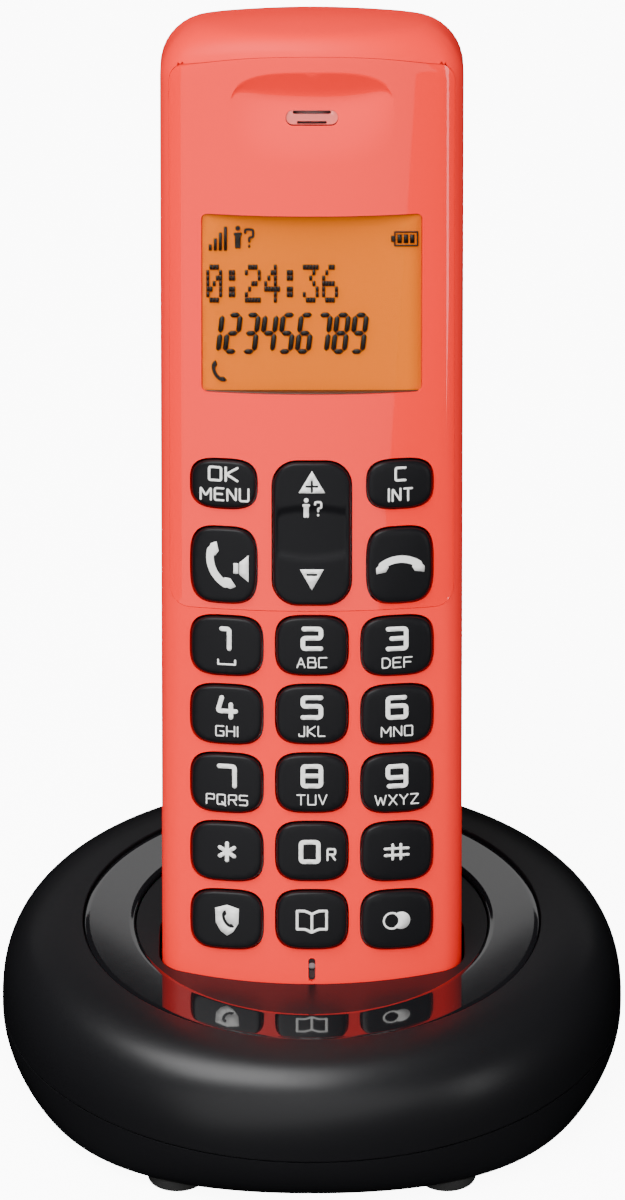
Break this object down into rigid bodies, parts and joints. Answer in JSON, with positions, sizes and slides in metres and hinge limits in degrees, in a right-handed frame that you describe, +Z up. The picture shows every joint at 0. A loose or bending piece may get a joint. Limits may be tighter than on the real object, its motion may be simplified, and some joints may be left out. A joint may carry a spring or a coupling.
{
  "type": "cordless telephone with charging base",
  "caption": "Cordless telephone handset with keypad and lit display, leaning back in a round charging base; keys, rocker, battery cover and charging pins move.",
  "frame": {"origin": "centre of the round base, on the surface that the feet stand on", "axes": "+Z up, -Y towards the user in front of the keypad, +X to the user's right"},
  "size_m": [0.1, 0.1, 0.1723],
  "materials": {
    "coral_satin": "satin",
    "coral_gloss": "high gloss",
    "key_black": "satin gloss",
    "base_black": "satin",
    "disc_gloss_black": "mirror gloss",
    "display_window": "clear",
    "lcd_glass": "amber backlit",
    "light_frame": "matt",
    "silicone": "matt",
    "foam": "matt",
    "foot_rubber": "matt",
    "circuit_board": "solder mask",
    "plated_steel": "bright",
    "cell_sleeve": "printed sleeve",
    "gold_plate": "plated",
    "inner_plastic": "matt"
  },
  "bodies": {
    "base": {"base_upper_shell": "base_black", "base_lower_shell": "base_black", "cradle_disc": "disc_gloss_black", "cradle_cup": "base_black", "base_feet": "foot_rubber", "base_screws": "plated_steel", "base_pcb": "circuit_board", "base_rf_shield": "plated_steel", "contact_block": "inner_plastic", "line_socket": "inner_plastic", "power_socket": "inner_plastic", "page_switch": "inner_plastic"},
    "handset": {"front_shell": "coral_satin", "front_panel": "coral_gloss", "display_window": "display_window", "lcd_module": "lcd_glass", "lcd_holder": "light_frame", "keypad_mat": "silicone", "handset_pcb": "circuit_board", "handset_rf_shield": "plated_steel", "earpiece_grille": "coral_gloss", "earpiece_receiver": "plated_steel", "earpiece_seal": "foam", "microphone": "plated_steel", "microphone_boot": "silicone", "loudspeaker": "inner_plastic", "rear_shell": "coral_satin", "battery_cells": "cell_sleeve", "battery_springs": "plated_steel", "battery_plates": "plated_steel", "handset_contacts": "gold_plate", "handset_screws": "plated_steel"},
    "key_nav": {"key_nav": "key_black"},
    "battery_cover": {"battery_cover": "coral_satin"},
    "charge_pin_left": {"charge_pin_left": "gold_plate"},
    "charge_pin_right": {"charge_pin_right": "gold_plate"},
    "page_button": {"page_button": "base_black"},
    "key_ok": {"key_ok": "key_black"},
    "key_clear": {"key_clear": "key_black"},
    "key_talk": {"key_talk": "key_black"},
    "key_end": {"key_end": "key_black"},
    "key_1": {"key_1": "key_black"},
    "key_2": {"key_2": "key_black"},
    "key_3": {"key_3": "key_black"},
    "key_4": {"key_4": "key_black"},
    "key_5": {"key_5": "key_black"},
    "key_6": {"key_6": "key_black"},
    "key_7": {"key_7": "key_black"},
    "key_8": {"key_8": "key_black"},
    "key_9": {"key_9": "key_black"},
    "key_star": {"key_star": "key_black"},
    "key_0": {"key_0": "key_black"},
    "key_hash": {"key_hash": "key_black"},
    "key_lock": {"key_lock": "key_black"},
    "key_book": {"key_book": "key_black"},
    "key_redial": {"key_redial": "key_black"}
  },
  "joints": [
    {"name": "handset_lift", "type": "slide", "parent": "base", "child": "handset", "axis": [0, 0.289, 0.9573], "range_m": [0, 0.08]},
    {"name": "battery_cover_pull", "type": "slide", "parent": "handset", "child": "battery_cover", "axis": [0, 0.9573, -0.289], "range_m": [0, 0.03]},
    {"name": "nav_rock", "type": "hinge", "parent": "handset", "child": "key_nav", "pos_m": [0, 0.00603, 0.09418], "axis": [1, 0, 0], "range_deg": [-3, 3], "stiffness_Nm_per_rad": 0.2},
    {"name": "charge_pin_left_press", "type": "slide", "parent": "base", "child": "charge_pin_left", "axis": [0, 0.289, 0.9573], "range_m": [-0.0008, 0], "stiffness_N_per_m": 600},
    {"name": "charge_pin_right_press", "type": "slide", "parent": "base", "child": "charge_pin_right", "axis": [0, 0.289, 0.9573], "range_m": [-0.0008, 0], "stiffness_N_per_m": 600},
    {"name": "page_button_press", "type": "slide", "parent": "base", "child": "page_button", "axis": [0, -1, 0], "range_m": [0, 0.0008], "stiffness_N_per_m": 1200},
    {"name": "key_ok_press", "type": "slide", "parent": "handset", "child": "key_ok", "axis": [0, 0.9573, -0.289], "range_m": [0, 0.0008], "stiffness_N_per_m": 1000},
    {"name": "key_clear_press", "type": "slide", "parent": "handset", "child": "key_clear", "axis": [0, 0.9573, -0.289], "range_m": [0, 0.0008], "stiffness_N_per_m": 1000},
    {"name": "key_talk_press", "type": "slide", "parent": "handset", "child": "key_talk", "axis": [0, 0.9573, -0.289], "range_m": [0, 0.0008], "stiffness_N_per_m": 1000},
    {"name": "key_end_press", "type": "slide", "parent": "handset", "child": "key_end", "axis": [0, 0.9573, -0.289], "range_m": [0, 0.0008], "stiffness_N_per_m": 1000},
    {"name": "key_1_press", "type": "slide", "parent": "handset", "child": "key_1", "axis": [0, 0.9573, -0.289], "range_m": [0, 0.0008], "stiffness_N_per_m": 1000},
    {"name": "key_2_press", "type": "slide", "parent": "handset", "child": "key_2", "axis": [0, 0.9573, -0.289], "range_m": [0, 0.0008], "stiffness_N_per_m": 1000},
    {"name": "key_3_press", "type": "slide", "parent": "handset", "child": "key_3", "axis": [0, 0.9573, -0.289], "range_m": [0, 0.0008], "stiffness_N_per_m": 1000},
    {"name": "key_4_press", "type": "slide", "parent": "handset", "child": "key_4", "axis": [0, 0.9573, -0.289], "range_m": [0, 0.0008], "stiffness_N_per_m": 1000},
    {"name": "key_5_press", "type": "slide", "parent": "handset", "child": "key_5", "axis": [0, 0.9573, -0.289], "range_m": [0, 0.0008], "stiffness_N_per_m": 1000},
    {"name": "key_6_press", "type": "slide", "parent": "handset", "child": "key_6", "axis": [0, 0.9573, -0.289], "range_m": [0, 0.0008], "stiffness_N_per_m": 1000},
    {"name": "key_7_press", "type": "slide", "parent": "handset", "child": "key_7", "axis": [0, 0.9573, -0.289], "range_m": [0, 0.0008], "stiffness_N_per_m": 1000},
    {"name": "key_8_press", "type": "slide", "parent": "handset", "child": "key_8", "axis": [0, 0.9573, -0.289], "range_m": [0, 0.0008], "stiffness_N_per_m": 1000},
    {"name": "key_9_press", "type": "slide", "parent": "handset", "child": "key_9", "axis": [0, 0.9573, -0.289], "range_m": [0, 0.0008], "stiffness_N_per_m": 1000},
    {"name": "key_star_press", "type": "slide", "parent": "handset", "child": "key_star", "axis": [0, 0.9573, -0.289], "range_m": [0, 0.0008], "stiffness_N_per_m": 1000},
    {"name": "key_0_press", "type": "slide", "parent": "handset", "child": "key_0", "axis": [0, 0.9573, -0.289], "range_m": [0, 0.0008], "stiffness_N_per_m": 1000},
    {"name": "key_hash_press", "type": "slide", "parent": "handset", "child": "key_hash", "axis": [0, 0.9573, -0.289], "range_m": [0, 0.0008], "stiffness_N_per_m": 1000},
    {"name": "key_lock_press", "type": "slide", "parent": "handset", "child": "key_lock", "axis": [0, 0.9573, -0.289], "range_m": [0, 0.0008], "stiffness_N_per_m": 1000},
    {"name": "key_book_press", "type": "slide", "parent": "handset", "child": "key_book", "axis": [0, 0.9573, -0.289], "range_m": [0, 0.0008], "stiffness_N_per_m": 1000},
    {"name": "key_redial_press", "type": "slide", "parent": "handset", "child": "key_redial", "axis": [0, 0.9573, -0.289], "range_m": [0, 0.0008], "stiffness_N_per_m": 1000}
  ]
}
